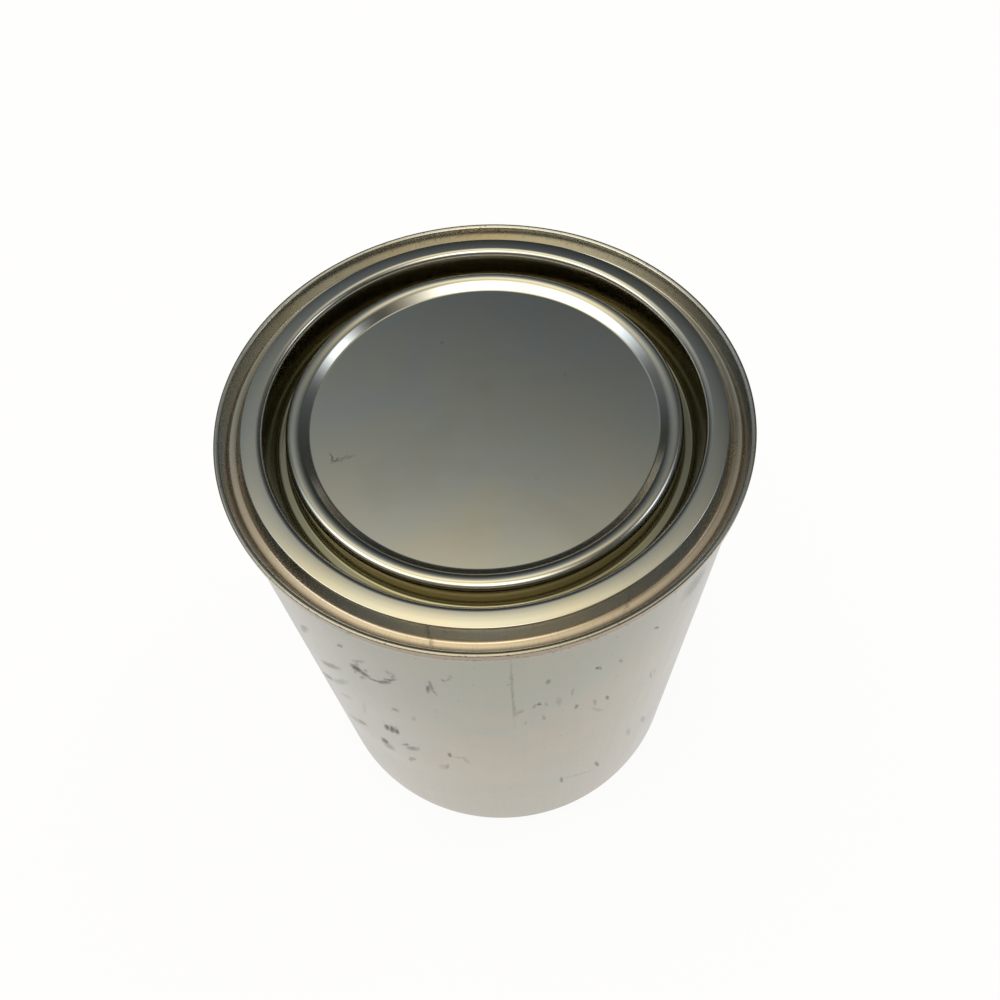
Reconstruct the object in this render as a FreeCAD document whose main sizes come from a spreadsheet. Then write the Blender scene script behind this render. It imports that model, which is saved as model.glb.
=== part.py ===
import FreeCAD, Part
import os
import Sketcher

# A shut lever-lid can of bare tinplate, standing upright. Millimetres, +Z up, and the
# origin is in the middle of the base, on the surface that the can stands on.
#
# The can has three pieces, each turned about the Z axis:
#   can_body    the drawn body with its countersunk base. The can is shut, so the body is
#               solid up to the underside of the lid's channel. Above that its wall goes on
#               alone to the top seam.
#   lever_ring  the pressed ring that closes the body's top. Its outer edge is rolled round
#               the body's flange in a double seam. Further in it dips to a ledge, rises to
#               a crown and turns down into the throat that grips the lid.
#   lid         the pressed plug: a rim that a lever lifts, the plug wall, a channel, a
#               raised crest and a flat panel inside it.
#
# Radii run inwards from the body wall, and heights run down from the top of the can, so
# one changed size moves everything that fits to it.

# Driving sizes: name, value and meaning.
SIZES = {
    "body_radius": (54.0, "outside of the body wall"),
    "can_height": (132.0, "ground to the top of the seam and of the lid's rim"),
    "plate": (0.28, "thickness of the tinplate"),
    # double seam
    "seam_gap": (0.03, "between the folded layers of the seam"),
    "seam_height": (2.8, "height of the rolled seam"),
    "seam_round": (0.5, "radius along the top edges of the seam"),
    "hook_play": (0.6, "room left beyond the end of each hook in the seam"),
    # lever ring
    "ledge_depth": (3.2, "top of the can down to the ring's ledge"),
    "chuck_lean": (0.5, "how far the groove's outer wall leans in by the ledge"),
    "ledge_width": (1.85, "flat ledge at the bottom of the ring's groove"),
    "crown_inset": (0.5, "turned-down lip of the lid in to the edge of the crown"),
    "throat_depth": (6.4, "top of the can down to the end of the throat"),
    "seat_gap": (0.05, "between the lid and the ring where they seat"),
    # lid
    "lever_gap": (1.36, "ledge in to the lid's rim, where a lever is put"),
    "lip_depth": (0.75, "turned-down lip of the lid's rim"),
    "lip_round": (0.4, "radius along the outer edge of the lid's rim"),
    "rim_width": (4.7, "outer edge of the lid in to its plug wall"),
    "shoulder_round": (2.0, "radius where the rim turns down into the plug wall"),
    "plug_depth": (7.9, "top of the can down to the lid's channel"),
    "plug_lean": (1.05, "how far the plug wall leans in by the channel"),
    "channel_width": (2.45, "flat bottom of the channel"),
    "channel_lean": (0.4, "how far the channel's inner wall leans in by the crest"),
    "crest_depth": (1.88, "top of the can down to the crest"),
    "crest_width": (2.6, "top of the crest"),
    "crest_round": (1.6, "radius along the outer edge of the crest"),
    "crest_ease": (2.4, "radius where the crest turns down into the bevel"),
    "bevel_run": (2.15, "slope from the crest in to the panel"),
    "panel_depth": (3.7, "top of the can down to the flat panel"),
    # base
    "base_round": (1.2, "radius between the body wall and the base"),
    "stand_width": (2.6, "body wall in to the recess, with the ring that it stands on"),
    "recess_height": (3.2, "ground up to the base panel"),
    "recess_lean": (0.7, "how far the wall of the recess leans in by the panel"),
    "band_width": (9.0, "outer band of the base panel"),
    "step_height": (0.8, "how much lower the middle of the base lies than its band"),
    "step_run": (1.0, "slope from the band to the middle"),
}

# Radii and heights that follow from the driving sizes.
PLACES = {
    # layers of the double seam, outwards from the body wall
    "cover_hook_in": "Sizes.body_radius + Sizes.seam_gap",
    "cover_hook_out": "Places.cover_hook_in + Sizes.plate",
    "body_hook_in": "Places.cover_hook_out + Sizes.seam_gap",
    "body_hook_out": "Places.body_hook_in + Sizes.plate",
    "seam_inside": "Places.body_hook_out + Sizes.seam_gap",
    "seam_radius": "Places.seam_inside + Sizes.plate",
    # lever ring, inwards from the body wall
    "wall_inside": "Sizes.body_radius - Sizes.plate",
    "chuck_back": "Places.wall_inside - Sizes.seam_gap",
    "chuck_radius": "Places.chuck_back - Sizes.plate",
    "ledge_outer": "Places.chuck_radius - Sizes.chuck_lean",
    "ledge_outer_back": "Places.ledge_outer + Sizes.plate",
    "ledge_inner": "Places.ledge_outer - Sizes.ledge_width",
    "ledge_inner_back": "Places.ledge_inner - Sizes.plate",
    # lid, inwards from its rim
    "lid_radius": "Places.ledge_inner - Sizes.lever_gap",
    "lip_inside": "Places.lid_radius - Sizes.plate",
    "plug_radius": "Places.lid_radius - Sizes.rim_width",
    "plug_back": "Places.plug_radius + Sizes.plate",
    "plug_foot": "Places.plug_radius - Sizes.plug_lean",
    "plug_foot_back": "Places.plug_foot + Sizes.plate",
    "channel_inner": "Places.plug_foot - Sizes.channel_width",
    "channel_back": "Places.channel_inner - Sizes.plate",
    "crest_outer": "Places.channel_inner - Sizes.channel_lean",
    "crest_back": "Places.crest_outer - Sizes.plate",
    "crest_inner": "Places.crest_outer - Sizes.crest_width",
    "panel_radius": "Places.crest_inner - Sizes.bevel_run",
    # crown and throat of the ring, which follow the underside of the lid
    "crown_outer": "Places.lip_inside - Sizes.crown_inset",
    "crown_back": "Places.crown_outer - Sizes.plate",
    "throat_radius": "Places.plug_back + Sizes.seat_gap",
    "throat_back": "Places.throat_radius + Sizes.plate",
    "throat_lean": "Sizes.plug_lean * Sizes.throat_depth / Sizes.plug_depth",
    "throat_foot": "Places.throat_radius - Places.throat_lean",
    "throat_foot_back": "Places.throat_foot + Sizes.plate",
    # radii of the shoulder and the crest on each surface under them
    "shoulder_under": "Sizes.shoulder_round - Sizes.plate",
    "throat_round": "Places.shoulder_under - Sizes.seat_gap",
    "throat_round_back": "Places.throat_round - Sizes.plate",
    "crest_round_under": "Sizes.crest_round - Sizes.plate",
    "crest_ease_under": "Sizes.crest_ease - Sizes.plate",
    # base, inwards from the body wall
    "stand_inner": "Sizes.body_radius - Sizes.stand_width",
    "recess_radius": "Places.stand_inner - Sizes.recess_lean",
    "step_outer": "Places.recess_radius - Sizes.band_width",
    "step_inner": "Places.step_outer - Sizes.step_run",
    "base_middle": "Sizes.recess_height - Sizes.step_height",
    # heights of the seam's layers
    "seam_foot": "Sizes.can_height - Sizes.seam_height",
    "seam_foot_inside": "Places.seam_foot + Sizes.plate",
    "seam_top_inside": "Sizes.can_height - Sizes.plate",
    "flange_top": "Places.seam_top_inside - Sizes.seam_gap",
    "flange_under": "Places.flange_top - Sizes.plate",
    "body_hook_foot": "Places.seam_foot_inside + Sizes.hook_play",
    "cover_hook_top": "Places.flange_under - Sizes.hook_play",
    # heights of the ring
    "ledge_top": "Sizes.can_height - Sizes.ledge_depth",
    "ledge_under": "Places.ledge_top - Sizes.plate",
    "crown_top": "Places.rim_under - Sizes.seat_gap",
    "crown_under": "Places.crown_top - Sizes.plate",
    "throat_end": "Sizes.can_height - Sizes.throat_depth",
    # heights of the lid
    "lip_foot": "Sizes.can_height - Sizes.lip_depth",
    "rim_under": "Sizes.can_height - Sizes.plate",
    "channel_top": "Sizes.can_height - Sizes.plug_depth",
    "channel_under": "Places.channel_top - Sizes.plate",
    "crest_top": "Sizes.can_height - Sizes.crest_depth",
    "crest_under": "Places.crest_top - Sizes.plate",
    "panel_top": "Sizes.can_height - Sizes.panel_depth",
    "panel_under": "Places.panel_top - Sizes.plate",
}

# Corners on the turning axis or on the ground have no size of their own.
AXIS = "axis"
GROUND = "ground"

# Two circles this close together, in millimetres, are the same edge.
SAME_EDGE = 1e-4


def add_sizes(doc):
    """The spreadsheet of driving sizes: one row each, with name, value and meaning."""
    sheet = doc.addObject("Spreadsheet::Sheet", "Sizes")
    for row, (name, (value, meaning)) in enumerate(SIZES.items(), start=1):
        sheet.set(f"A{row}", name)
        sheet.set(f"B{row}", str(value))
        sheet.set(f"C{row}", meaning)
        sheet.setAlias(f"B{row}", name)


def add_places(doc):
    """The set of radii and heights that follow from the driving sizes by expressions."""
    places = doc.addObject("App::VarSet", "Places")
    for name in PLACES:
        places.addProperty("App::PropertyFloat", name, "Places")
    for name, expression in PLACES.items():
        places.setExpression(name, expression)


def bound(name):
    """The expression that reads a named size or place."""
    owner = "Sizes" if name in SIZES else "Places"
    return f"{owner}.{name}"


def value_of(doc, name):
    """The present value of a named size or place, or zero on the axis or the ground."""
    if name in (AXIS, GROUND):
        return 0.0
    owner = doc.Sizes if name in SIZES else doc.Places
    return float(getattr(owner, name))


def add_outline(doc, body, corners):
    """A closed outline of straight sides in the body's XZ plane, one side per corner.

    A corner is (radius, height), each the name of a size or place that the corner is tied
    to. AXIS as a radius keeps a corner on the turning axis, GROUND as a height on z = 0.
    """
    sketch = body.newObject("Sketcher::SketchObject", f"{body.Name}_outline")
    plane = next(item for item in body.Origin.OriginFeatures if item.Role == "XZ_Plane")
    sketch.AttachmentSupport = [(plane, "")]
    sketch.MapMode = "FlatFace"
    points = [FreeCAD.Vector(value_of(doc, r), value_of(doc, z), 0) for r, z in corners]
    ends = points[1:] + points[:1]
    for start, end in zip(points, ends):
        sketch.addGeometry(Part.LineSegment(start, end), False)
    for side in range(len(corners)):
        following = (side + 1) % len(corners)
        sketch.addConstraint(Sketcher.Constraint("Coincident", side, 2, following, 1))
    for side, (radius, height) in enumerate(corners):
        tie_corner(sketch, side, "DistanceX", points[side].x, radius)
        tie_corner(sketch, side, "DistanceY", points[side].y, height)
    return sketch


def tie_corner(sketch, side, direction, distance, name):
    """Ties the start of one side to a named radius or height, to the axis or to the ground."""
    vertical_axis, horizontal_axis = -2, -1
    if name == AXIS:
        sketch.addConstraint(Sketcher.Constraint("PointOnObject", side, 1, vertical_axis))
    elif name == GROUND:
        sketch.addConstraint(Sketcher.Constraint("PointOnObject", side, 1, horizontal_axis))
    else:
        tie = sketch.addConstraint(Sketcher.Constraint(direction, -1, 1, side, 1, distance))
        sketch.setExpression(f"Constraints[{tie}]", bound(name))


def add_turned_piece(doc, name, corners):
    """A body named after its piece: an outline turned all the way about the Z axis."""
    body = doc.addObject("PartDesign::Body", name)
    body.Label = name
    body.Placement = FreeCAD.Placement()
    sketch = add_outline(doc, body, corners)
    turn = body.newObject("PartDesign::Revolution", f"{name}_turn")
    turn.Profile = sketch
    turn.ReferenceAxis = (sketch, ["V_Axis"])
    turn.Angle = 360
    sketch.Visibility = False
    doc.recompute()
    return body


def add_fillet(doc, body, size, corners):
    """Rounds the circles that the given corners of the outline sweep, to a named radius."""
    base = body.Tip
    names = []
    for radius, height in corners:
        for number, edge in enumerate(base.Shape.Edges, start=1):
            if not isinstance(edge.Curve, Part.Circle):
                continue
            radius_off = abs(edge.Curve.Radius - value_of(doc, radius))
            height_off = abs(edge.Curve.Center.z - value_of(doc, height))
            if max(radius_off, height_off) < SAME_EDGE:
                names.append(f"Edge{number}")
    if len(names) != len(corners):
        raise RuntimeError(f"{body.Label}: found {len(names)} of the edges for {size}")
    fillet = body.newObject("PartDesign::Fillet", f"{body.Name}_{size}")
    fillet.Base = (base, names)
    fillet.setExpression("Radius", bound(size))
    doc.recompute()


def add_can_body(doc):
    """Drawn body: base, wall and the flange that hooks outwards and down in the seam."""
    corners = [
        (AXIS, "base_middle"),
        ("step_inner", "base_middle"),
        ("step_outer", "recess_height"),
        ("recess_radius", "recess_height"),
        ("stand_inner", GROUND),
        ("body_radius", GROUND),
        ("body_radius", "flange_under"),
        ("body_hook_in", "flange_under"),
        ("body_hook_in", "body_hook_foot"),
        ("body_hook_out", "body_hook_foot"),
        ("body_hook_out", "flange_top"),
        ("wall_inside", "flange_top"),
        ("wall_inside", "channel_under"),
        (AXIS, "channel_under"),
    ]
    body = add_turned_piece(doc, "can_body", corners)
    add_fillet(doc, body, "base_round", [("body_radius", GROUND)])
    return body


def add_lever_ring(doc):
    """Lever ring: the seam rolled under the body's hook, the groove, crown and throat."""
    seam = [
        ("chuck_radius", "can_height"),
        ("seam_radius", "can_height"),
        ("seam_radius", "seam_foot"),
        ("cover_hook_in", "seam_foot"),
        ("cover_hook_in", "cover_hook_top"),
        ("cover_hook_out", "cover_hook_top"),
        ("cover_hook_out", "seam_foot_inside"),
        ("seam_inside", "seam_foot_inside"),
        ("seam_inside", "seam_top_inside"),
        ("chuck_back", "seam_top_inside"),
    ]
    underside = [
        ("ledge_outer_back", "ledge_under"),
        ("ledge_inner_back", "ledge_under"),
        ("crown_back", "crown_under"),
        ("throat_back", "crown_under"),
        ("throat_foot_back", "throat_end"),
    ]
    upper_side = [
        ("throat_foot", "throat_end"),
        ("throat_radius", "crown_top"),
        ("crown_outer", "crown_top"),
        ("ledge_inner", "ledge_top"),
        ("ledge_outer", "ledge_top"),
    ]
    body = add_turned_piece(doc, "lever_ring", seam + underside + upper_side)
    seam_edges = [("chuck_radius", "can_height"), ("seam_radius", "can_height")]
    add_fillet(doc, body, "seam_round", seam_edges)
    add_fillet(doc, body, "throat_round", [("throat_radius", "crown_top")])
    add_fillet(doc, body, "throat_round_back", [("throat_back", "crown_under")])
    return body


def add_lid(doc):
    """Lid: panel, bevel, crest, channel, plug wall, rim and its turned-down lip."""
    upper_side = [
        (AXIS, "panel_top"),
        ("panel_radius", "panel_top"),
        ("crest_inner", "crest_top"),
        ("crest_outer", "crest_top"),
        ("channel_inner", "channel_top"),
        ("plug_foot", "channel_top"),
        ("plug_radius", "can_height"),
        ("lid_radius", "can_height"),
        ("lid_radius", "lip_foot"),
    ]
    underside = [
        ("lip_inside", "lip_foot"),
        ("lip_inside", "rim_under"),
        ("plug_back", "rim_under"),
        ("plug_foot_back", "channel_under"),
        ("channel_back", "channel_under"),
        ("crest_back", "crest_under"),
        ("crest_inner", "crest_under"),
        ("panel_radius", "panel_under"),
        (AXIS, "panel_under"),
    ]
    body = add_turned_piece(doc, "lid", upper_side + underside)
    add_fillet(doc, body, "lip_round", [("lid_radius", "can_height")])
    add_fillet(doc, body, "shoulder_round", [("plug_radius", "can_height")])
    add_fillet(doc, body, "shoulder_under", [("plug_back", "rim_under")])
    add_fillet(doc, body, "crest_round", [("crest_outer", "crest_top")])
    add_fillet(doc, body, "crest_round_under", [("crest_back", "crest_under")])
    add_fillet(doc, body, "crest_ease", [("crest_inner", "crest_top")])
    add_fillet(doc, body, "crest_ease_under", [("crest_inner", "crest_under")])
    return body


def check(doc, pieces):
    """Stops with a message if any object failed or any piece isn't one valid solid."""
    for item in doc.Objects:
        if "Invalid" in item.State or "Error" in item.State:
            raise RuntimeError(f"{item.Label} failed: {item.State}")
    for piece in pieces:
        shape = piece.Shape
        if shape.isNull() or not shape.isValid() or len(shape.Solids) != 1:
            raise RuntimeError(f"{piece.Label} isn't one valid solid")


def main():
    doc = FreeCAD.newDocument("lever_lid_can")
    add_sizes(doc)
    add_places(doc)
    doc.recompute()
    pieces = [add_can_body(doc), add_lever_ring(doc), add_lid(doc)]
    doc.recompute()
    check(doc, pieces)
    os.makedirs("parts", exist_ok=True)
    for piece in pieces:
        piece.Shape.exportStep(f"parts/{piece.Label}.step")
        print(piece.Label, "volume", round(piece.Shape.Volume / 1000, 3), "cm3")


main()
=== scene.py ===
import math

import bpy
import numpy as np
from mathutils import Matrix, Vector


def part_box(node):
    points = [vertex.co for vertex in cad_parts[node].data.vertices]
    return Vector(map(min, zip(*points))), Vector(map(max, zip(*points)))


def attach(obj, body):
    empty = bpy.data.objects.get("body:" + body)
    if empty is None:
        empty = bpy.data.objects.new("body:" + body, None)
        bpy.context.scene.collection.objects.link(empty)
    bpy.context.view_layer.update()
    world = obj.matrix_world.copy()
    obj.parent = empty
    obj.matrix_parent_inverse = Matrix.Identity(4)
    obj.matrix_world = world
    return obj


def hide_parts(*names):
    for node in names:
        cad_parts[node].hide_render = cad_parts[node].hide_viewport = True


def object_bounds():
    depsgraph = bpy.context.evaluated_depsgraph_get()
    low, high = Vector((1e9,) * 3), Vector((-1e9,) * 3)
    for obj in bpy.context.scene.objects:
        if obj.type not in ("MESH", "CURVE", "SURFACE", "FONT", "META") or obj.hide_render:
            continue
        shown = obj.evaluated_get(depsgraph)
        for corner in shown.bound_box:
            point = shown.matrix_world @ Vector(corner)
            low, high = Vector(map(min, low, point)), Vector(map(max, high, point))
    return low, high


# A shut lever-lid can of bare tinplate, standing on a pale floor. Each of its three pieces
# is turned about the Z axis from a fine profile, inside the box of the CAD solid that it
# replaces. Profiles are in millimetres: radii from the axis, and heights down from the
# top of the can.

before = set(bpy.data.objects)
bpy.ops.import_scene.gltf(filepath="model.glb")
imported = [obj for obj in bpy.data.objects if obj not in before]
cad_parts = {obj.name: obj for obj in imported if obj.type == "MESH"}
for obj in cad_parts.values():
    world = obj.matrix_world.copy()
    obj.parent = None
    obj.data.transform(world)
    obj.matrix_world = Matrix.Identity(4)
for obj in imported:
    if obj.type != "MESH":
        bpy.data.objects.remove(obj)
cad_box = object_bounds()

MM = 0.001


def least_reach(node):
    """How far a turned CAD node reaches from the axis, in mm: the least of its four sides."""
    low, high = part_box(node)
    return min(high.x, high.y, -low.x, -low.y) / MM


CAN_TOP = cad_box[1].z / MM
SEAM_RADIUS = least_reach("lever_ring")
WALL_RADIUS = 54.0
PLATE = 0.28            # mm of tinplate
LID_RADIUS = least_reach("lid")
GROUND = -CAN_TOP
TURN_STEPS = 320        # steps round the can
CORNER_STEPS = 7        # points of each rounded corner


# ---------------------------------------------------------------- turned pieces

def rounded_profile(corners, closed):
    """Points and outward normals of a profile whose corners are rounded by tangent arcs.

    A corner is (radius, height, rounding). Each arc touches both sides of its corner at
    the distance rounding * tan(turn / 2), and its points lie on the circle at equal
    angles, so the normal turns evenly from one side's to the next side's. An open profile
    keeps its first and last point, which lie on the axis. The profile runs so that the
    outside is on the right hand of its direction of travel.
    """
    data = np.array(corners, float)
    place, rounding = data[:, :2], data[:, 2]
    ahead = np.roll(place, -1, 0) - place
    ahead /= np.linalg.norm(ahead, axis=1)[:, None]
    behind = np.roll(ahead, 1, 0)
    turn = np.arctan2(behind[:, 0] * ahead[:, 1] - behind[:, 1] * ahead[:, 0],
                      (behind * ahead).sum(1))
    tangent = rounding * np.tan(np.abs(turn) / 2)
    share = np.linspace(0, 1, CORNER_STEPS)[None, :]
    side = np.sign(turn)[:, None]
    normal_in = np.stack([behind[:, 1], -behind[:, 0]], 1)
    angle = turn[:, None] * share
    cos, sin = np.cos(angle), np.sin(angle)
    normal = np.stack([normal_in[:, :1] * cos - normal_in[:, 1:] * sin,
                       normal_in[:, :1] * sin + normal_in[:, 1:] * cos], -1)
    start = place - behind * tangent[:, None]
    centre = start - normal_in * (side * rounding[:, None])
    points = centre[:, None] + normal * (side * rounding[:, None])[..., None]
    if not closed:
        points, normal = points[1:-1], normal[1:-1]
    points, normal = points.reshape(-1, 2), normal.reshape(-1, 2)
    if not closed:
        points = np.vstack([place[:1], points, place[-1:]])
        normal = np.vstack([[[0, np.sign(normal[0, 1])]], normal, [[0, np.sign(normal[-1, 1])]]])
    return points, normal


def turned_piece(name, corners, closed=True):
    """A closed surface: the point (r, z) of the profile goes to (r cos a, r sin a, z) for
    every angle a of a full turn, and its normal turns with it. A point on the axis is one
    vertex, which closes the surface with triangles."""
    points, normal = rounded_profile(corners, closed)
    poles = 0 if closed else 2
    rim = points if closed else points[1:-1]
    rim_normal = normal if closed else normal[1:-1]
    rows, cols = len(rim), TURN_STEPS
    a = np.arange(cols) * (2 * np.pi / cols)
    ring = np.stack([np.cos(a), np.sin(a)], -1)
    height = np.broadcast_to(rim[:, None, 1:], (rows, cols, 1))
    rise = np.broadcast_to(rim_normal[:, None, 1:], (rows, cols, 1))
    co = np.concatenate([rim[:, None, :1] * ring, height], -1)
    no = np.concatenate([rim_normal[:, None, :1] * ring, rise], -1)
    co, no = co.reshape(-1, 3), no.reshape(-1, 3)
    index = np.arange(rows * cols).reshape(rows, cols)
    upper = index if closed else index[:-1]
    lower = np.roll(index, -1, 0) if closed else index[1:]
    quads = np.stack([upper, np.roll(upper, -1, 1), np.roll(lower, -1, 1), lower], -1).reshape(-1, 4)
    faces = quads.tolist()
    if poles:
        first, last = rows * cols, rows * cols + 1
        co = np.vstack([co, [[0, 0, points[0, 1]], [0, 0, points[-1, 1]]]])
        no = np.vstack([no, [[0, 0, normal[0, 1]], [0, 0, normal[-1, 1]]]])
        top, bottom = index[0], index[-1]
        faces += np.stack([np.full(cols, first), np.roll(top, -1), top], -1).tolist()
        faces += np.stack([bottom, np.roll(bottom, -1), np.full(cols, last)], -1).tolist()
    co[:, 2] += CAN_TOP
    mesh = bpy.data.meshes.new(name)
    mesh.from_pydata((co * MM).tolist(), [], faces)
    mesh.shade_smooth()
    mesh.normals_split_custom_set_from_vertices(no.tolist())
    piece = bpy.data.objects.new(name, mesh)
    bpy.context.scene.collection.objects.link(piece)
    return piece


# Drawn body, from the middle of its base outwards, up the wall and back to the axis.
can_wall = turned_piece("can_wall", [
    (0, GROUND + 2.4, 0),
    (40.7, GROUND + 2.4, 1.6),
    (41.7, GROUND + 3.2, 1.6),
    (50.7, GROUND + 3.2, 1.2),
    (51.4, GROUND, 0.6),
    (WALL_RADIUS, GROUND, 1.2),
    (WALL_RADIUS, -1.0, 0.1),
    (WALL_RADIUS - PLATE, -1.0, 0.1),
    (WALL_RADIUS - PLATE, -8.2, 0.1),
    (0, -8.2, 0),
], closed=False)

# Lever ring: seam, chuck wall, ledge, crown and throat, then back along its underside.
ring_corners = [
    (54.60, 0.0, 0.7),
    (53.92, -0.22, 0.45),
    (52.68, -3.13, 0.3),
    (52.00, -3.20, 3.0),
    (51.12, -3.05, 0.8),
    (48.92, -0.33, 0.6),
    (45.33, -0.33, 1.6),
    (44.48, -6.4, 0.1),
    (44.76, -6.4, 0.1),
    (45.61, -0.61, 1.3),
    (48.64, -0.61, 0.4),
    (50.86, -3.40, 0.7),
    (52.92, -3.44, 0.4),
    (54.05, -0.55, 0.3),
    (54.64, -0.42, 0.2),
    (54.62, -2.52, 0.1),
    (54.03, -2.52, 0.1),
    (54.03, -2.8, 0.1),
    (SEAM_RADIUS - 0.12, -2.8, 0.3),
    (SEAM_RADIUS, -2.1, 1.5),
    (SEAM_RADIUS, -0.18, 0.22),
]
lever_ring_sheet = turned_piece("lever_ring_sheet", ring_corners[::-1])

# Lid: panel, bevel, crest, channel, plug wall, domed rim and lip, then its underside.
lid_corners = [
    (0, -3.7, 0),
    (36.35, -3.7, 0.6),
    (38.47, -1.88, 2.6),
    (41.10, -1.88, 1.72),
    (41.5, -7.9, 0.9),
    (43.95, -7.9, 0.9),
    (45.45, -0.04, 1.45),
    (47.30, 0.0, 20.0),
    (48.70, -0.055, 16.0),
    (LID_RADIUS, -0.175, 0.32),
    (LID_RADIUS, -0.75, 0.1),
    (LID_RADIUS - PLATE, -0.75, 0.1),
    (LID_RADIUS - PLATE, -0.40, 0.1),
    (45.70, -0.33, 1.15),
    (44.23, -8.18, 0.3),
    (41.22, -8.18, 0.3),
    (40.82, -2.16, 1.3),
    (38.60, -2.16, 2.7),
    (36.45, -3.98, 0.3),
    (0, -3.98, 0),
]
lid_sheet = turned_piece("lid_sheet", lid_corners[::-1], closed=False)


# ---------------------------------------------------------------- materials

def linear(hex_colour):
    """The linear colour of an sRGB hex value."""
    shown = [int(hex_colour[i:i + 2], 16) / 255 for i in (1, 3, 5)]
    return [c / 12.92 if c <= 0.04045 else ((c + 0.055) / 1.055) ** 2.4 for c in shown] + [1.0]


def add(tree, kind, settings=None, links=None):
    """Adds a node, sets its properties, and gives its inputs a value or links a socket."""
    made = tree.nodes.new(kind)
    for key, value in (settings or {}).items():
        setattr(made, key, value)
    for key, value in (links or {}).items():
        if isinstance(value, bpy.types.NodeSocket):
            tree.links.new(value, made.inputs[key])
        else:
            made.inputs[key].default_value = value
    return made


def empty_material(name):
    """A material with an empty node tree."""
    material = bpy.data.materials.new(name)
    material.use_nodes = True
    material.node_tree.nodes.clear()
    return material


# Tin is a warm white metal. Flow-melted, it freezes in soft clouds, some a little yellower
# and some a little bluer, and hands, dust and rubbing leave grey-brown scuffs on it.
TIN_YELLOW = "#c9c1b2"         # the warmer clouds of the lid and the ring
TIN_BLUE = "#c4c0b8"           # their cooler clouds
SHADED_WALL_YELLOW = "#a39a88"     # the warmer clouds of the wall, darkened below bare tin as a painted reflection of the shaded ground
SHADED_WALL_GREEN = "#9a998b"      # its cooler clouds, darkened the same way
TIN_TARNISH = "#b3a998"        # the haze over them all
SEAM_FACE_SHADE_BROWN = "#8a7b64"        # the seam's outer face: painted shade, for the shaded floor it mirrors
LEDGE_RUBBED = "#c3b3a1"       # the near ledge, worn by lids
SCUFF_AND_FOOT_SHADOW_BROWN = "#241f19"        # scuffs, specks, and the painted contact shadow along the wall's foot
GROOVE_SHADE_BROWN = "#a19b84"       # the lid's channel, browned and darkened as painted shade
CLOUD_SIZE = 26.0      # mm, from one cloud of the tin to the next
GRAIN_WIDTH = 0.9      # mm; the real rolling lines are 0.1 mm, too fine to show at this size
GRAIN_LENGTH = 45.0    # mm, along the rolled sheet
WAVE_SIZE = 15.0       # mm, from one shallow wave of the thin sheet to the next

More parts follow.
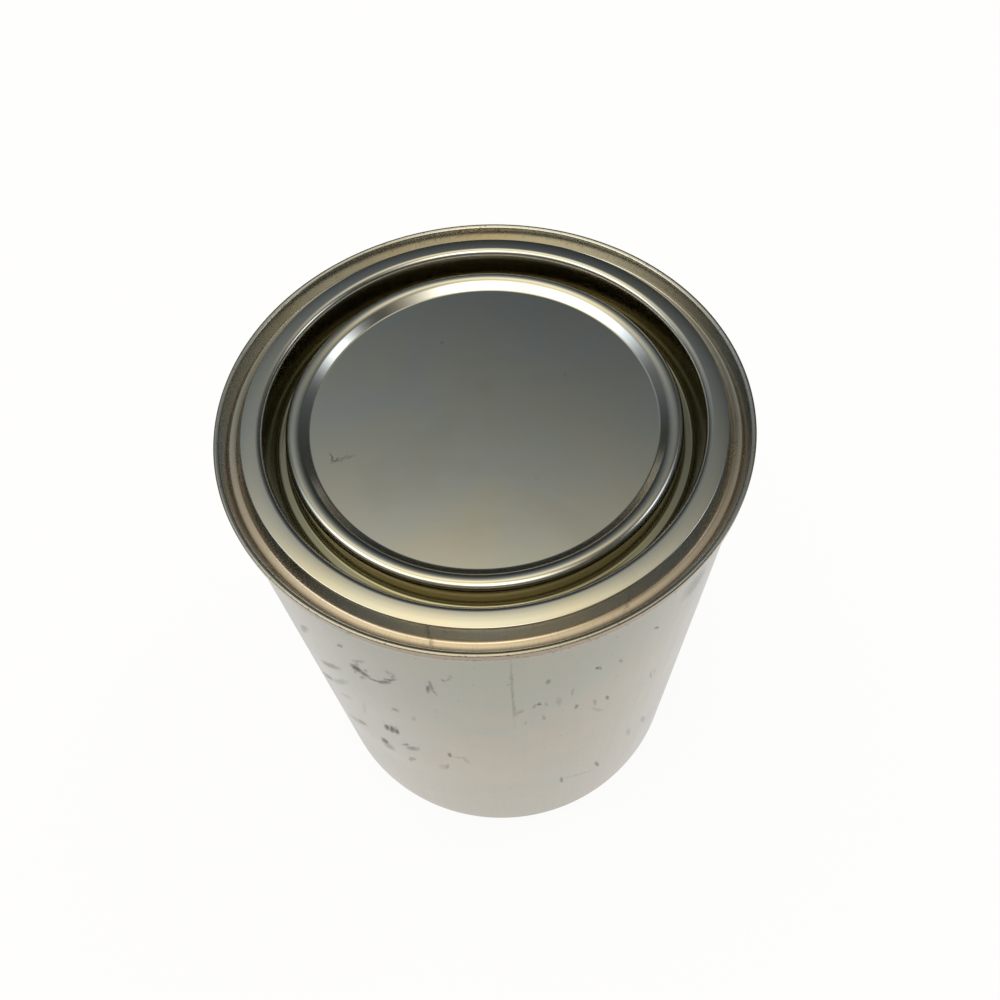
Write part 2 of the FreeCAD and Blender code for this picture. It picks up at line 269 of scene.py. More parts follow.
# Marks: place across and up in mm, half length and half width in mm, lean to the right
# at the top in degrees, darkness. On the wall, "across" is the arc from the front of the
# can in degrees and "up" is below zero under the can's top.
WALL_MARKS = [
    # crescent scuff: its rubbed head, then its tail that thins as it rises
    (-32.8, -24.4, 1.6, 1.2, 10, 1.00), (-31.0, -25.4, 1.1, 1.0, 20, 0.80),
    (-28.6, -26.4, 2.0, 0.50, 80, 0.75), (-26.4, -24.9, 2.0, 0.50, 48, 0.75),
    (-24.4, -22.0, 1.8, 0.45, 42, 0.80), (-23.2, -19.2, 1.5, 0.35, 15, 0.45),
    (-31.3, -18.9, 2.2, 0.45, 38, 0.38), (-32.3, -21.8, 1.5, 0.40, 25, 0.45),
    (-24.0, -17.8, 0.9, 0.60, 0, 0.30), (-32.2, -28.6, 1.6, 0.40, 30, 0.45),
    (-33.9, -27.4, 1.2, 0.35, 20, 0.35), (-30.2, -22.4, 1.2, 0.35, 25, 0.35),
    # dark rub of three short strokes, and the smudges round it
    (-31.9, -61.2, 2.2, 0.65, 10, 0.95), (-30.3, -60.8, 2.7, 0.65, 10, 1.00),
    (-29.0, -60.6, 2.2, 0.55, 10, 0.95), (-28.9, -57.8, 1.2, 0.35, 20, 0.40),
    (-27.5, -69.2, 1.5, 0.45, 28, 0.70), (-26.0, -70.7, 2.6, 0.90, 30, 0.55),
    (-24.2, -68.6, 1.2, 0.40, 20, 0.35), (-28.6, -71.0, 1.4, 0.40, 25, 0.40),
    (-35.7, -78.2, 2.4, 0.90, 15, 0.85), (-35.0, -81.5, 2.8, 1.50, 15, 0.40),
    (-43.4, -76.0, 2.6, 0.90, 35, 0.50), (-48.0, -82.0, 5.0, 1.20, 35, 0.25),
    (-15.4, -66.6, 1.6, 0.42, 3, 0.80), (-13.2, -67.5, 1.7, 0.35, 75, 0.35),
    (-11.4, -69.0, 2.2, 0.55, -10, 0.25), (-17.2, -78.2, 2.4, 0.45, 12, 0.45),
    (-18.5, -79.5, 2.0, 0.80, 12, 0.20), (-27.8, -82.5, 2.6, 0.60, 20, 0.45),
    (-26.3, -42.0, 1.2, 0.70, 20, 0.50), (-22.0, -43.6, 1.4, 0.45, 10, 0.25),
    (-15.9, -21.3, 1.9, 0.32, 8, 0.75), (-15.1, -19.2, 2.3, 0.26, 0, 0.60),
    (-14.8, -22.2, 1.6, 0.24, -8, 0.45), (-12.0, -15.0, 0.6, 0.32, 0, 0.50),
    (-11.1, -14.2, 0.9, 0.22, 10, 0.40), (-10.6, -12.9, 1.0, 0.25, 10, 0.30),
    (-34.8, -14.7, 1.3, 0.35, 32, 0.65),
    # long faint rubs that lean with the way the can is picked up
    (-47.5, -22.5, 3.4, 0.65, 32, 0.40), (-49.0, -26.0, 2.6, 0.50, 32, 0.35),
    (-44.0, -37.5, 5.2, 0.80, 40, 0.50), (-43.3, -46.5, 6.0, 0.70, 30, 0.30),
    (-50.2, -55.0, 3.4, 0.80, 36, 0.60), (-53.0, -59.5, 4.6, 0.70, 36, 0.35),
    (-44.5, -58.0, 3.4, 0.70, 36, 0.20), (-37.6, -55.5, 5.0, 0.50, 12, 0.16),
    # hairline down the front, and the specks to its right
    (1.4, -22.0, 15.0, 0.17, 0, 0.35), (1.5, -13.4, 1.2, 0.28, 0, 0.40),
    (1.7, -31.5, 3.4, 0.26, 0, 0.35), (2.7, -33.5, 1.3, 0.60, 20, 0.30),
    (0.9, -16.8, 0.4, 0.40, 0, 0.35), (8.8, -18.6, 0.9, 0.42, 0, 0.55),
    (19.7, -20.2, 1.1, 0.28, -30, 0.85), (25.4, -22.6, 1.1, 0.28, -15, 0.50),
    (7.0, -30.4, 0.8, 0.35, 0, 0.75), (6.0, -30.9, 1.0, 0.30, 10, 0.45),
    (8.6, -31.0, 1.0, 0.28, 0, 0.35), (11.4, -31.5, 2.4, 0.50, -5, 0.25),
    (14.4, -28.5, 2.0, 0.30, 0, 0.28), (15.8, -38.6, 1.0, 0.34, -5, 0.65),
    (20.5, -41.2, 1.9, 0.34, -8, 0.40), (23.8, -42.0, 1.5, 0.34, -15, 0.70),
    (8.2, -39.5, 1.5, 0.28, -12, 0.38), (4.1, -41.0, 1.2, 0.24, 0, 0.28),
    (34.0, -17.4, 1.3, 0.26, -32, 0.65), (38.0, -49.2, 2.6, 0.25, -14, 0.35),
    (39.2, -48.6, 2.2, 0.20, -14, 0.25), (21.6, -47.0, 3.0, 0.40, -25, 0.22),
    # two short strokes low on the right, and a faint rub between them
    (14.2, -97.4, 2.6, 0.38, -5, 0.65), (25.6, -98.2, 2.9, 0.42, -13, 0.70),
    (19.8, -99.3, 4.6, 0.60, -55, 0.16), (36.0, -88.0, 3.6, 0.55, -12, 0.25),
    (42.5, -90.5, 4.2, 0.65, -16, 0.28), (45.0, -12.5, 4.0, 3.00, -30, 0.30),
    # the far side, plainly worn as the near one is
    (150.0, -40.0, 4.0, 0.60, 30, 0.35), (163.0, -72.0, 2.4, 0.80, 20, 0.45),
    (-120.0, -55.0, 5.0, 0.70, -25, 0.35), (-145.0, -88.0, 2.6, 1.00, 10, 0.35),
    (105.0, -30.0, 3.0, 0.50, 15, 0.40), (-95.0, -96.0, 3.0, 0.60, -15, 0.35),
]
LID_MARKS = [
    (-31.4, -8.0, 1.0, 0.20, -20, 0.75), (-30.6, -8.9, 0.9, 0.20, 70, 0.70),
    (-29.0, -8.6, 0.9, 0.20, 55, 0.60), (-27.9, -8.4, 0.8, 0.18, 60, 0.40),
    (18.0, 9.0, 0.35, 0.25, 0, 0.35), (-8.0, 21.0, 0.30, 0.25, 0, 0.30),
    (9.5, -17.0, 0.35, 0.22, 40, 0.30),
]
RING_MARKS = [
    (-40.5, -35.0, 2.6, 0.30, -45, 0.75), (-39.2, -36.6, 1.4, 0.22, -40, 0.55),
    (-12.5, -49.4, 1.8, 0.30, -15, 0.40), (23.0, -45.6, 1.5, 0.28, 25, 0.40),
]


def flow_melted_tin(tree, place, grain_turn, grain_squeeze, tins=(TIN_YELLOW, TIN_BLUE), bias=0.0):
    """Colour, roughness and height of the bare tin coat.

    Colour: a blend of the two tins by a soft noise of CLOUD_SIZE. Roughness: a second
    cloud plus the rolling grain, a noise drawn out along the sheet. Height: the grain and
    a shallow waviness of WAVE_SIZE, in parts of the bump's distance.
    """
    cloud = add(tree, "ShaderNodeTexNoise", links={
        "Vector": place, "Scale": 1 / (CLOUD_SIZE * MM), "Detail": 3.0, "Roughness": 0.55, "Distortion": 0.6})
    biased = add(tree, "ShaderNodeMath", {"operation": "ADD"}, {0: cloud.outputs["Fac"], 1: bias})
    blend = add(tree, "ShaderNodeMapRange", {"interpolation_type": "SMOOTHSTEP"},
                {"Value": biased.outputs[0], "From Min": 0.36, "From Max": 0.64})
    tin = add(tree, "ShaderNodeMix", {"data_type": "RGBA"},
              {0: blend.outputs[0], 6: linear(tins[0]), 7: linear(tins[1])})
    shifted = add(tree, "ShaderNodeMapping", links={0: place, "Location": (0.31, 0.17, 0.23)})
    haze = add(tree, "ShaderNodeTexNoise", links={
        "Vector": shifted.outputs[0], "Scale": 0.6 / (CLOUD_SIZE * MM),
        "Detail": 5.0, "Roughness": 0.6, "Distortion": 0.4})
    tarnish = add(tree, "ShaderNodeMapRange", {"interpolation_type": "SMOOTHSTEP"},
                  {"Value": haze.outputs["Fac"], "From Min": 0.48, "From Max": 0.78, "To Max": 0.55})
    tin = add(tree, "ShaderNodeMix", {"data_type": "RGBA"},
              {0: tarnish.outputs[0], 6: tin.outputs[2], 7: linear(TIN_TARNISH)})
    along = add(tree, "ShaderNodeMapping", links={
        0: place, "Rotation": (0, 0, math.radians(grain_turn)), "Scale": grain_squeeze})
    grain = add(tree, "ShaderNodeTexNoise", links={
        "Vector": along.outputs[0], "Scale": 1 / (GRAIN_WIDTH * MM), "Detail": 2.0, "Roughness": 0.5})
    wave = add(tree, "ShaderNodeTexNoise", links={
        "Vector": place, "Scale": 1 / (WAVE_SIZE * MM), "Detail": 1.0, "Roughness": 0.4})
    rough = add(tree, "ShaderNodeMath", {"operation": "MULTIPLY_ADD"},
                {0: haze.outputs["Fac"], 1: 0.16, 2: -0.08})
    rough = add(tree, "ShaderNodeMath", {"operation": "MULTIPLY_ADD"},
                {0: grain.outputs["Fac"], 1: 0.05, 2: rough.outputs[0]})
    height = add(tree, "ShaderNodeMath", {"operation": "MULTIPLY_ADD"},
                 {0: grain.outputs["Fac"], 1: 0.05, 2: wave.outputs["Fac"]})
    return tin.outputs[2], rough.outputs[0], height.outputs[0]


def scuff_cover(tree, flat, marks, arc=1.0):
    """How much of the tin the marks hide, from 0 to 1.

    Each mark is an ellipse: its place is taken from the flat coordinate, turned by its
    lean and divided by its half sizes, so it covers where the length of that is below 1,
    with a soft edge. The marks' edges wander with a noise, and a finer one breaks them up.
    """
    wander = add(tree, "ShaderNodeTexNoise", links={
        "Vector": flat, "Scale": 0.9, "Detail": 3.0, "Roughness": 0.65})
    wander = add(tree, "ShaderNodeVectorMath", {"operation": "SUBTRACT"},
                 {0: wander.outputs["Color"], 1: (0.5, 0.5, 0.5)})
    wander = add(tree, "ShaderNodeVectorMath", {"operation": "MULTIPLY"},
                 {0: wander.outputs[0], 1: (1.7, 2.8, 0)})
    ragged = add(tree, "ShaderNodeVectorMath", {"operation": "ADD"}, {0: flat, 1: wander.outputs[0]})
    # The cover so far is carried in Z, which each mark's huge Z size keeps out of its length.
    state = add(tree, "ShaderNodeVectorMath", {"operation": "MULTIPLY"},
                {0: ragged.outputs[0], 1: (1, 1, 0)}).outputs[0]
    for across, up, half_length, half_width, lean, dark in marks:
        spot = add(tree, "ShaderNodeMapping", {"vector_type": "TEXTURE"}, {
            0: state, "Location": (across * arc, up, 0), "Rotation": (0, 0, -math.radians(lean)),
            "Scale": (half_width, half_length, 1e6)})
        away = add(tree, "ShaderNodeVectorMath", {"operation": "LENGTH"}, {0: spot.outputs[0]})
        part = add(tree, "ShaderNodeMapRange", {"interpolation_type": "SMOOTHSTEP"},
                   {"Value": away.outputs["Value"], "From Min": 1.8, "From Max": 0.45, "To Max": dark})
        part = add(tree, "ShaderNodeCombineXYZ", links={0: -1e4, 1: -1e4, 2: part.outputs[0]})
        state = add(tree, "ShaderNodeVectorMath", {"operation": "MAXIMUM"},
                    {0: state, 1: part.outputs[0]}).outputs[0]
    cover = add(tree, "ShaderNodeSeparateXYZ", links={0: state}).outputs[2]
    broken = add(tree, "ShaderNodeTexNoise", links={
        "Vector": flat, "Scale": 2.6, "Detail": 3.0, "Roughness": 0.7})
    broken = add(tree, "ShaderNodeMapRange", links={
        "Value": broken.outputs["Fac"], "From Min": 0.35, "From Max": 0.58, "To Min": 0.50, "To Max": 1.0})
    return add(tree, "ShaderNodeMath", {"operation": "MULTIPLY"},
               {0: cover, 1: broken.outputs[0]}).outputs[0]


def specks(tree, flat, size, least, most):
    """Scattered grains of dirt, from 0 to 1: the peaks of a noise of that size in mm."""
    dots = add(tree, "ShaderNodeTexNoise", links={
        "Vector": flat, "Scale": 1 / size, "Detail": 1.0, "Roughness": 0.5})
    return add(tree, "ShaderNodeMapRange", links={
        "Value": dots.outputs["Fac"], "From Min": least, "From Max": most}).outputs[0]


def finish_tinplate(material, coat, cover, roughness, relief):
    """Lays the scuffs over the tin coat, with the wall's painted contact shadow at its foot, and ends the
    material in a metal shader.

    Under a scuff the tin goes brown and dull; everywhere it keeps its grain and waves."""
    tree = material.node_tree
    tin, rough, height = coat
    colour = add(tree, "ShaderNodeMix", {"data_type": "RGBA"},
                 {0: cover, 6: tin, 7: linear(SCUFF_AND_FOOT_SHADOW_BROWN)})
    rough = add(tree, "ShaderNodeMath", {"operation": "ADD"}, {0: rough, 1: roughness - 0.025})
    rough = add(tree, "ShaderNodeMath", {"operation": "MULTIPLY_ADD"},
                {0: cover, 1: 0.25, 2: rough.outputs[0]})
    bump = add(tree, "ShaderNodeBump", links={"Height": height, "Strength": 1.0, "Distance": relief * MM})
    shader = add(tree, "ShaderNodeBsdfPrincipled", links={
        "Base Color": colour.outputs[2], "Metallic": 1.0,
        "Roughness": rough.outputs[0], "Normal": bump.outputs[0]})
    output = add(tree, "ShaderNodeOutputMaterial")
    tree.links.new(shader.outputs[0], output.inputs[0])
    return material


def polar_place(tree):
    """Object coordinates and, in mm, the arc round the axis from the front (0, -1), the
    radius, the height under the can's top, and the place across the can."""
    place = add(tree, "ShaderNodeTexCoord").outputs["Object"]
    parts = add(tree, "ShaderNodeSeparateXYZ", links={0: place})
    front = add(tree, "ShaderNodeMath", {"operation": "MULTIPLY"}, {0: parts.outputs[1], 1: -1.0})
    turn = add(tree, "ShaderNodeMath", {"operation": "ARCTAN2"}, {0: parts.outputs[0], 1: front.outputs[0]})
    arc = add(tree, "ShaderNodeMath", {"operation": "MULTIPLY"}, {0: turn.outputs[0], 1: WALL_RADIUS})
    level = add(tree, "ShaderNodeVectorMath", {"operation": "MULTIPLY"}, {0: place, 1: (1 / MM, 1 / MM, 0)})
    radius = add(tree, "ShaderNodeVectorMath", {"operation": "LENGTH"}, {0: level.outputs[0]})
    up = add(tree, "ShaderNodeMath", {"operation": "MULTIPLY_ADD"},
             {0: parts.outputs[2], 1: 1 / MM, 2: -CAN_TOP})
    return place, arc.outputs[0], radius.outputs["Value"], up.outputs[0], level.outputs[0]


def drawn_tinplate():
    """Body: tinplate drawn into a cup. Drawing pulls the grain upright and the wall keeps a soft lustre. Its
    tin is darker than bare tin, and a little greener towards its top, as a painted reflection of the shaded
    ground the wall mirrors; it is scuffed where it is held, and a painted contact shadow darkens its bottom
    edge."""
    material = empty_material("drawn_flow_melted_tinplate")
    tree = material.node_tree
    place, arc, _, up, _ = polar_place(tree)
    # Painted reflection: the wall's tin leans greener towards its top, for the shaded ground it mirrors.
    greener_shaded_top = add(tree, "ShaderNodeMapRange", {"interpolation_type": "SMOOTHSTEP"},
                  {"Value": up, "From Min": -95.0, "From Max": -15.0, "To Min": -0.12, "To Max": 0.12})
    coat = flow_melted_tin(tree, place, 0.0, (1.0, 1.0, GRAIN_WIDTH / GRAIN_LENGTH),
                           (SHADED_WALL_YELLOW, SHADED_WALL_GREEN), greener_shaded_top.outputs[0])
    flat = add(tree, "ShaderNodeCombineXYZ", links={0: arc, 1: up}).outputs[0]
    cover = scuff_cover(tree, flat, WALL_MARKS, WALL_RADIUS * math.pi / 180)
    dust = specks(tree, flat, 1.1, 0.70, 0.80)
    dust = add(tree, "ShaderNodeMath", {"operation": "MULTIPLY"}, {0: dust, 1: 0.30})
    # Painted contact shadow: the tin darkens along the wall's bottom edge, where it mirrors the floor's
    # shadow at its foot.
    foot_shadow = add(tree, "ShaderNodeMapRange", {"interpolation_type": "SMOOTHSTEP"},
                {"Value": up, "From Min": GROUND + 1.6, "From Max": GROUND + 0.5, "To Max": 0.55})
    cover = add(tree, "ShaderNodeMath", {"operation": "MAXIMUM"}, {0: cover, 1: dust.outputs[0]})
    cover = add(tree, "ShaderNodeMath", {"operation": "MAXIMUM"}, {0: cover.outputs[0], 1: foot_shadow.outputs[0]})
    return finish_tinplate(material, coat, cover.outputs[0], roughness=0.23, relief=0.030)


def seamed_tinplate():
    """Lever ring: pressed tinplate, ironed bright where the seaming rollers ran. Its ledge is scratched
    across by lids pressed in and levered out, and dirt sits in the seam. The seam's outer face is browned and
    darkened, a painted reflection of the shaded floor it mirrors."""
    material = empty_material("pressed_and_seamed_tinplate")
    tree = material.node_tree
    place, arc, radius, up, level = polar_place(tree)
    tin, rough, height = flow_melted_tin(tree, place, 18.0, (GRAIN_WIDTH / GRAIN_LENGTH, 1.0, 1.0))
    scratch_place = add(tree, "ShaderNodeCombineXYZ", links={0: arc, 1: radius})
    scratch_place = add(tree, "ShaderNodeMapping", links={
        0: scratch_place.outputs[0], "Scale": (3.6, 0.35, 1)})
    scratches = add(tree, "ShaderNodeTexNoise", links={
        "Vector": scratch_place.outputs[0], "Scale": 1.0, "Detail": 4.0, "Roughness": 0.7, "Distortion": 0.5})
    scratches = add(tree, "ShaderNodeMapRange", links={
        "Value": scratches.outputs["Fac"], "From Min": 0.55, "From Max": 0.80})
    low = add(tree, "ShaderNodeMapRange", {"interpolation_type": "SMOOTHSTEP"},
              {"Value": up, "From Min": -2.2, "From Max": -3.0})
    near = add(tree, "ShaderNodeMapRange", {"interpolation_type": "SMOOTHSTEP"},
               {"Value": add(tree, "ShaderNodeSeparateXYZ", links={0: level}).outputs[1],
                "From Min": 25.0, "From Max": -30.0})
    worn = add(tree, "ShaderNodeMath", {"operation": "MULTIPLY"}, {0: low.outputs[0], 1: near.outputs[0]})
    rubbed_and_shaded_tin = add(tree, "ShaderNodeMix", {"data_type": "RGBA"},
                 {0: worn.outputs[0], 6: tin, 7: linear(LEDGE_RUBBED)})
    scored = add(tree, "ShaderNodeMath", {"operation": "MULTIPLY"},
                 {0: scratches.outputs[0], 1: worn.outputs[0]})
    scored = add(tree, "ShaderNodeMath", {"operation": "MULTIPLY"}, {0: scored.outputs[0], 1: 0.40})
    rough = add(tree, "ShaderNodeMath", {"operation": "MULTIPLY_ADD"},
                {0: worn.outputs[0], 1: 0.10, 2: rough})
    flat = add(tree, "ShaderNodeCombineXYZ", links={0: arc, 1: radius, 2: up}).outputs[0]
    outer = add(tree, "ShaderNodeMapRange", {"interpolation_type": "SMOOTHSTEP"},
                {"Value": radius, "From Min": 52.6, "From Max": 53.6, "To Max": 0.45})
    # Painted reflection: the seam's outer face is browned and darkened, for the shaded floor it mirrors.
    seam_face_shade_mask = add(tree, "ShaderNodeMapRange", {"interpolation_type": "SMOOTHSTEP"},
                {"Value": radius, "From Min": 54.5, "From Max": 54.9, "To Max": 0.85})
    rubbed_and_shaded_tin = add(tree, "ShaderNodeMix", {"data_type": "RGBA"},
                 {0: seam_face_shade_mask.outputs[0], 6: rubbed_and_shaded_tin.outputs[2], 7: linear(SEAM_FACE_SHADE_BROWN)})
    dirt = add(tree, "ShaderNodeMath", {"operation": "MULTIPLY"},
               {0: specks(tree, flat, 0.6, 0.62, 0.72), 1: outer.outputs[0]})
    cover = scuff_cover(tree, level, RING_MARKS)
    cover = add(tree, "ShaderNodeMath", {"operation": "MAXIMUM"}, {0: cover, 1: dirt.outputs[0]})
    cover = add(tree, "ShaderNodeMath", {"operation": "MAXIMUM"}, {0: cover.outputs[0], 1: scored.outputs[0]})
    coat = (rubbed_and_shaded_tin.outputs[2], rough.outputs[0], height)
    return finish_tinplate(material, coat, cover.outputs[0], roughness=0.20, relief=0.008)


def stamped_tinplate():
    """Lid: tinplate stamped in one blow, so its panel keeps the sheet's straight rolling grain and its
    mirror-like tin, with a fine scratch and a few specks. The deep channel round the panel is browned and
    darkened as painted shade."""
    material = empty_material("stamped_flow_melted_tinplate")
    tree = material.node_tree
    place, _, radius, up, level = polar_place(tree)
    coat = flow_melted_tin(tree, place, -12.0, (GRAIN_WIDTH / GRAIN_LENGTH, 1.0, 1.0))
    # Painted shade: the lid's deep channel is browned and darkened, as a shaded recess.
    deep = add(tree, "ShaderNodeMapRange", {"interpolation_type": "SMOOTHSTEP"},
               {"Value": up, "From Min": -0.9, "From Max": -4.5})
    inside = add(tree, "ShaderNodeMapRange", {"interpolation_type": "SMOOTHSTEP"},
                 {"Value": radius, "From Min": 40.2, "From Max": 41.2})
    groove_shade_mask = add(tree, "ShaderNodeMath", {"operation": "MULTIPLY"},
                 {0: deep.outputs[0], 1: inside.outputs[0]})
    tin = add(tree, "ShaderNodeMix", {"data_type": "RGBA"},
              {0: groove_shade_mask.outputs[0], 6: coat[0], 7: linear(GROOVE_SHADE_BROWN)})
    cover = scuff_cover(tree, level, LID_MARKS)
    return finish_tinplate(material, (tin.outputs[2],) + coat[1:], cover, roughness=0.16, relief=0.006)


for piece, node, slot, finish in (
    (can_wall, "can_body", "body_tinplate", drawn_tinplate()),
    (lever_ring_sheet, "lever_ring", "ring_tinplate", seamed_tinplate()),
    (lid_sheet, "lid", "lid_tinplate", stamped_tinplate()),
):
    piece.data.materials.append(finish)
    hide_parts(node)
    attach(piece, "root")


# ---------------------------------------------------------------- floor, tent and lights

def put_in_scene(name, mesh, material):
    """A stage object, which isn't part of the can."""
    item = bpy.data.objects.new(name, mesh)
    mesh.materials.append(material)
    bpy.context.scene.collection.objects.link(item)
    return item


def white_background(tree, path):
    """1 for rays from the camera, from metal and from glass, which all see the white."""
    seen = add(tree, "ShaderNodeMath", {"operation": "MAXIMUM"},
               {0: path.outputs["Is Camera Ray"], 1: path.outputs["Is Glossy Ray"]})
    return add(tree, "ShaderNodeMath", {"operation": "MAXIMUM"},
               {0: seen.outputs[0], 1: path.outputs["Is Transmission Ray"]}).outputs[0]


def pale_floor():
    """A flat square of 6 m on the ground. White paper: matt, with the can's shadow on it.

    The camera, metal and glass all see the same white.
    """
    mesh = bpy.data.meshes.new("floor")
    mesh.from_pydata([(-3, -3, 0), (3, -3, 0), (3, 3, 0), (-3, 3, 0)], [], [(0, 1, 2, 3)])
    material = empty_material("white_paper_floor")
    tree = material.node_tree
    path = add(tree, "ShaderNodeLightPath")
    matt = add(tree, "ShaderNodeBsdfDiffuse", links={"Color": linear("#e9e8e6")})
    white = add(tree, "ShaderNodeEmission", links={"Color": (1, 1, 1, 1), "Strength": 1.0})
    shown = add(tree, "ShaderNodeMath", {"operation": "MULTIPLY"},
                {0: white_background(tree, path), 1: WHITE_SHARE})
    mix = add(tree, "ShaderNodeMixShader",
              links={0: shown.outputs[0], 1: matt.outputs[0], 2: white.outputs[0]})
    output = add(tree, "ShaderNodeOutputMaterial")
    tree.links.new(mix.outputs[0], output.inputs[0])
    return put_in_scene("floor", mesh, material)


WHITE_SHARE = 0.93          # of the floor's look; the rest is matt paper with its shadow

# Soft lights of the tent. Each has a name, its turn round the can (degrees, 0 on the right
# and 90 behind), its tilt from overhead (degrees), its spread (degrees, two ways), its slant
# (degrees) and its linear colour.
TENT_LIGHTS = [
    ("overhead_cloth", 215, 29, (24, 13), -10, (1.4, 1.25, 0.8)),
    ("overhead_lamp", 275, 30, (13, 9), -10, (3.3, 3.3, 3.0)),
    ("left_window", 190, 43, (8, 20), 45, (2.1, 2.5, 3.0)),
    ("back_lamp", 120, 12, (20, 10), -5, (1.5, 1.4, 1.0)),
    ("right_window", 0, 50, (5, 9), 0, (2.6, 3.0, 3.5)),
    ("back_wall", 120, 35, (35, 16), -10, (0.22, 0.26, 0.29)),
    ("front_wall", 260, 64, (40, 18), 0, (0.12, 0.14, 0.14)),
    ("right_wall", 0, 55, (8, 33), 5, (0.10, 0.12, 0.15)),
]
TENT_GREY = (0.036, 0.042, 0.042)
PALE_BELOW = 0.18           # sine of the height over the horizon at which the tent turns pale
WHITE_BELOW = 0.03          # and at which it is as white as the background


def grey_tent():
    """A dome of 2 m round the can, with a few soft lights, that only the metal sees.

    It is grey overhead and as white as the background round its foot. A point of the dome
    in the direction (x, y, z) is at (x, y) / (1 + z) on the tent's map: its middle is
    overhead and its rim, 1 away, is the horizon. Each light adds its colour times
    exp(-d * d / 2), d being the distance from its centre in its widths.
    """
    turn, lift = np.meshgrid(np.linspace(0, 2 * np.pi, 97), np.linspace(-0.06, np.pi / 2, 25))
    co = np.stack([np.cos(turn) * np.cos(lift), np.sin(turn) * np.cos(lift), np.sin(lift)], -1) * 2.0
    index = np.arange(co.shape[0] * co.shape[1]).reshape(co.shape[:2])
    quads = np.stack([index[:-1, :-1], index[1:, :-1], index[1:, 1:], index[:-1, 1:]], -1)
    mesh = bpy.data.meshes.new("tent")
    mesh.from_pydata(co.reshape(-1, 3).tolist(), [], quads.reshape(-1, 4).tolist())
    material = empty_material("grey_tent_cloth")
    material.cycles.emission_sampling = "NONE"
    tree = material.node_tree
    way = add(tree, "ShaderNodeVectorMath", {"operation": "NORMALIZE"},
              {0: add(tree, "ShaderNodeTexCoord").outputs["Object"]})
    rise = add(tree, "ShaderNodeSeparateXYZ", links={0: way.outputs[0]}).outputs[2]
    height = add(tree, "ShaderNodeMath", {"operation": "ADD"}, {0: rise, 1: 1.0})
    chart = add(tree, "ShaderNodeVectorMath", {"operation": "DIVIDE"},
                {0: way.outputs[0], 1: height.outputs[0]})
    chart = add(tree, "ShaderNodeVectorMath", {"operation": "MULTIPLY"}, {0: chart.outputs[0], 1: (1, 1, 0)})
    total = add(tree, "ShaderNodeCombineXYZ", links=dict(enumerate(TENT_GREY))).outputs[0]
    for _, around, tilt, spread, slant, colour in TENT_LIGHTS:
        around, reach = math.radians(around), math.tan(math.radians(tilt / 2))
        offset = add(tree, "ShaderNodeMapping", {"vector_type": "TEXTURE"}, {
            0: chart.outputs[0],
            "Location": (reach * math.cos(around), reach * math.sin(around), 0),
            "Rotation": (0, 0, math.radians(slant)),
            "Scale": (math.radians(spread[0] / 2), math.radians(spread[1] / 2), 1)})
        squared = add(tree, "ShaderNodeVectorMath", {"operation": "DOT_PRODUCT"},
                      {0: offset.outputs[0], 1: offset.outputs[0]})
        bell = add(tree, "ShaderNodeMath", {"operation": "MULTIPLY"}, {0: squared.outputs["Value"], 1: -0.5})
        bell = add(tree, "ShaderNodeMath", {"operation": "EXPONENT"}, {0: bell.outputs[0]})
        total = add(tree, "ShaderNodeVectorMath", {"operation": "MULTIPLY_ADD"},
                    {0: bell.outputs[0], 1: colour, 2: total}).outputs[0]
    low = add(tree, "ShaderNodeMapRange", {"interpolation_type": "SMOOTHSTEP"},
              {"Value": rise, "From Min": PALE_BELOW, "From Max": WHITE_BELOW})
    cloth = add(tree, "ShaderNodeMix", {"data_type": "RGBA"}, {0: low.outputs[0], 6: total, 7: (1, 1, 1, 1)})
    glow = add(tree, "ShaderNodeEmission", links={"Color": cloth.outputs[2], "Strength": 1.0})
    output = add(tree, "ShaderNodeOutputMaterial")
    tree.links.new(glow.outputs[0], output.inputs[0])
    tent = put_in_scene("tent", mesh, material)
    tent.visible_camera = tent.visible_diffuse = tent.visible_transmission = False
    tent.visible_shadow = tent.visible_volume_scatter = False
    return tent


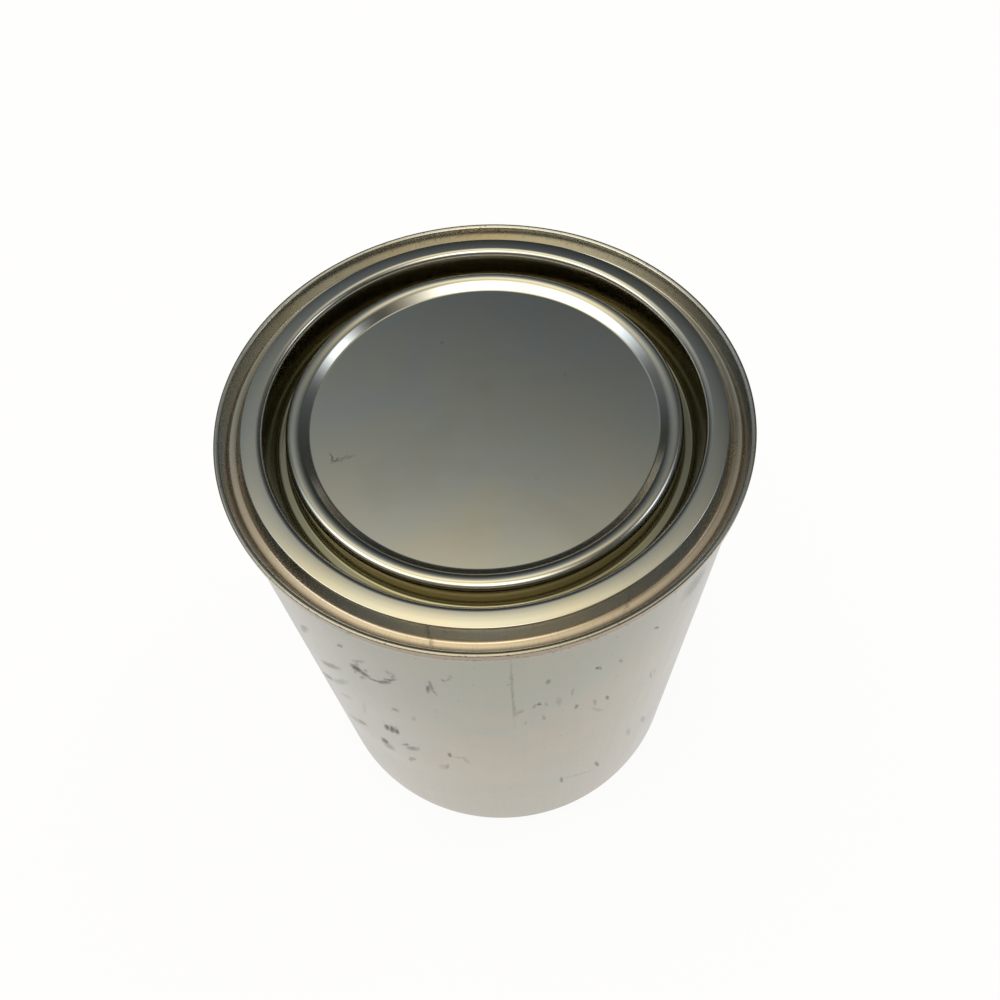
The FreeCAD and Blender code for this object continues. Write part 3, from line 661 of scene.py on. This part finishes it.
def studio_world():
    """White seen by the camera, by metal and by glass, and a plain grey that fills in."""
    world = bpy.data.worlds.new("studio")
    world.use_nodes = True
    tree = world.node_tree
    tree.nodes.clear()
    path = add(tree, "ShaderNodeLightPath")
    strength = add(tree, "ShaderNodeMapRange",
                   links={"Value": white_background(tree, path), "To Min": 0.6, "To Max": 1.0})
    back = add(tree, "ShaderNodeBackground", links={"Color": (1, 1, 1, 1), "Strength": strength.outputs[0]})
    output = add(tree, "ShaderNodeOutputWorld")
    tree.links.new(back.outputs[0], output.inputs[0])
    bpy.context.scene.world = world


def softbox(name, direction, distance, size, colour, power):
    """A rectangular lamp that faces the top of the can from a direction."""
    light = bpy.data.lights.new(name, "AREA")
    light.shape = "RECTANGLE"
    light.size, light.size_y = size
    light.color = linear(colour)[:3]
    light.energy = power
    lamp = bpy.data.objects.new(name, light)
    x, y, z = np.array(direction, float) / np.linalg.norm(direction)
    facing = Matrix.Rotation(math.atan2(x, -y), 4, "Z") @ Matrix.Rotation(math.acos(z), 4, "X")
    middle = (x * distance, y * distance, z * distance + CAN_TOP * MM)
    lamp.matrix_world = Matrix.Translation(middle) @ facing
    lamp.visible_glossy = False
    bpy.context.scene.collection.objects.link(lamp)
    return lamp


pale_floor()
grey_tent()
studio_world()
softbox("warm_overhead_softbox", (-0.20, -0.05, 0.98), 1.5, (1.3, 0.9), "#ffe9c0", 14)
softbox("cool_side_softbox", (0.49, 0.22, 0.84), 1.5, (0.30, 0.5), "#eaf4ff", 4)


# ---------------------------------------------------------------- camera

def point_camera():
    """A camera at the near edge of the can, above it, looking steeply down."""
    data = bpy.data.cameras.new("camera")
    data.sensor_width = 36.0
    data.lens = 30.26
    camera = bpy.data.objects.new("camera", data)
    pitch, yaw, roll = math.radians(57.6), math.radians(1.2), math.radians(-3.4)
    camera.matrix_world = (Matrix.Translation((0.0, -0.109, 0.2665))
                           @ Matrix.Rotation(-yaw, 4, "Z")
                           @ Matrix.Rotation(math.pi / 2 - pitch, 4, "X")
                           @ Matrix.Rotation(roll, 4, "Z"))
    bpy.context.scene.collection.objects.link(camera)
    bpy.context.scene.camera = camera


point_camera()
bpy.context.scene.view_settings.view_transform = "Standard"
